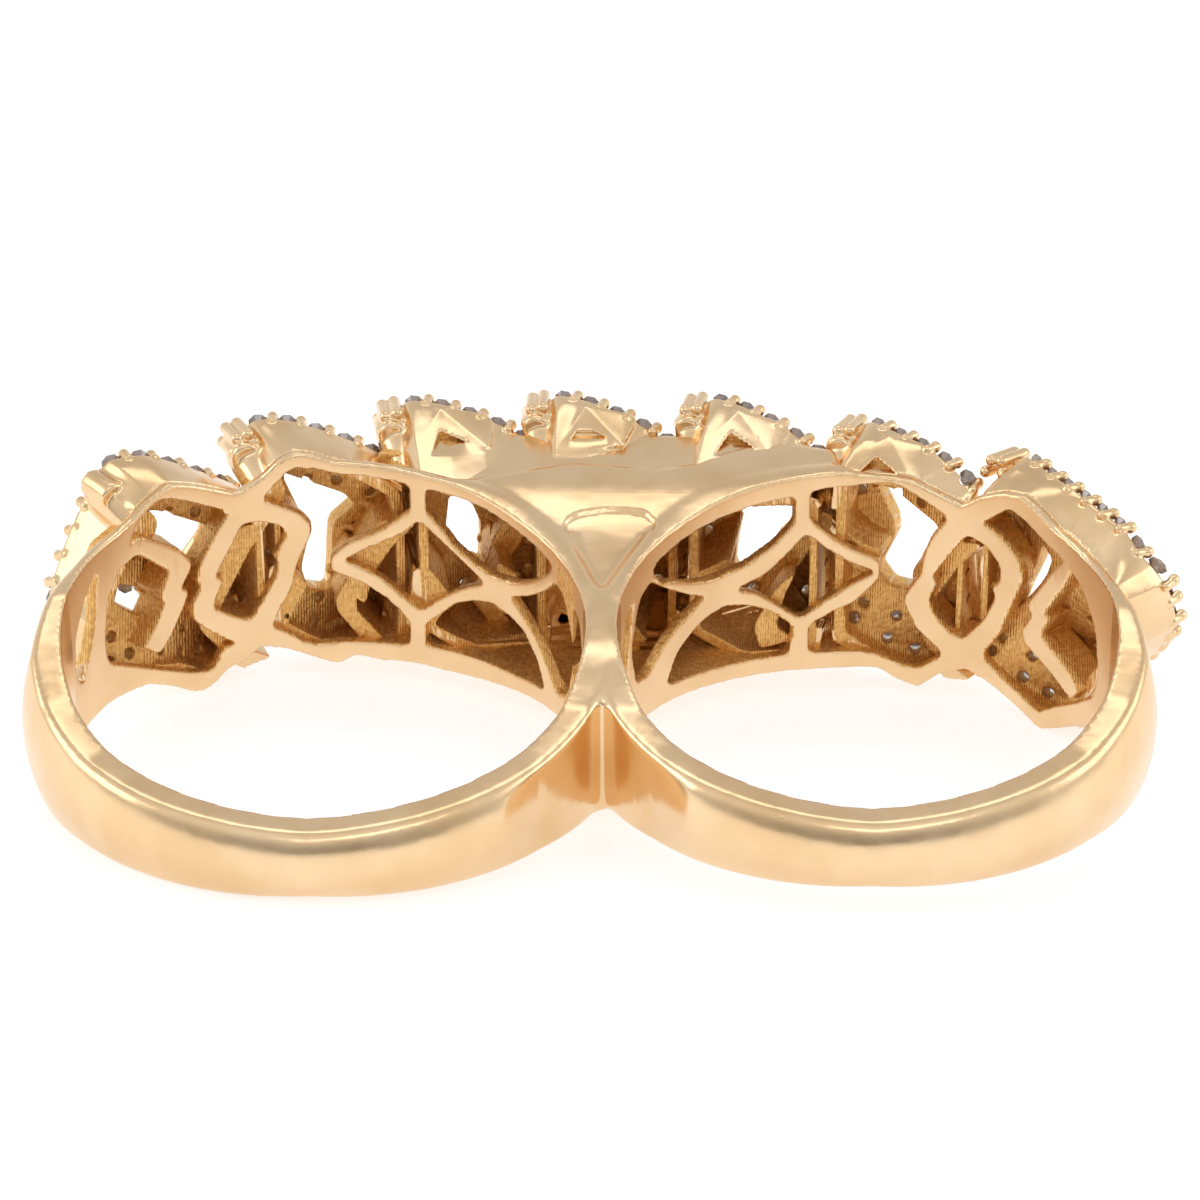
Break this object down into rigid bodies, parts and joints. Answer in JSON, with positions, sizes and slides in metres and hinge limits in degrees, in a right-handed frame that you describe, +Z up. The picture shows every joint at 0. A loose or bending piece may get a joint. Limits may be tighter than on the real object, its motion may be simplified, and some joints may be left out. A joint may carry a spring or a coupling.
{
  "type": "two finger ring",
  "caption": "Ring with two finger bores side by side, a pierced gallery and a twisted curb chain front of hollow links set with small stones between prongs.",
  "frame": {"origin": "on the surface that the ring lies on, under the middle of its box", "axes": "+X across the two fingers from the left hole to the right one, +Y from the palm side to the chain front, +Z up, close to the finger holes' own axis"},
  "size_m": [0.0452, 0.028, 0.0115],
  "materials": {
    "gold": "polished",
    "stone": "clear"
  },
  "bodies": {
    "root": {"cast_body": "gold", "pave_stones": "stone"}
  },
  "joints": []
}
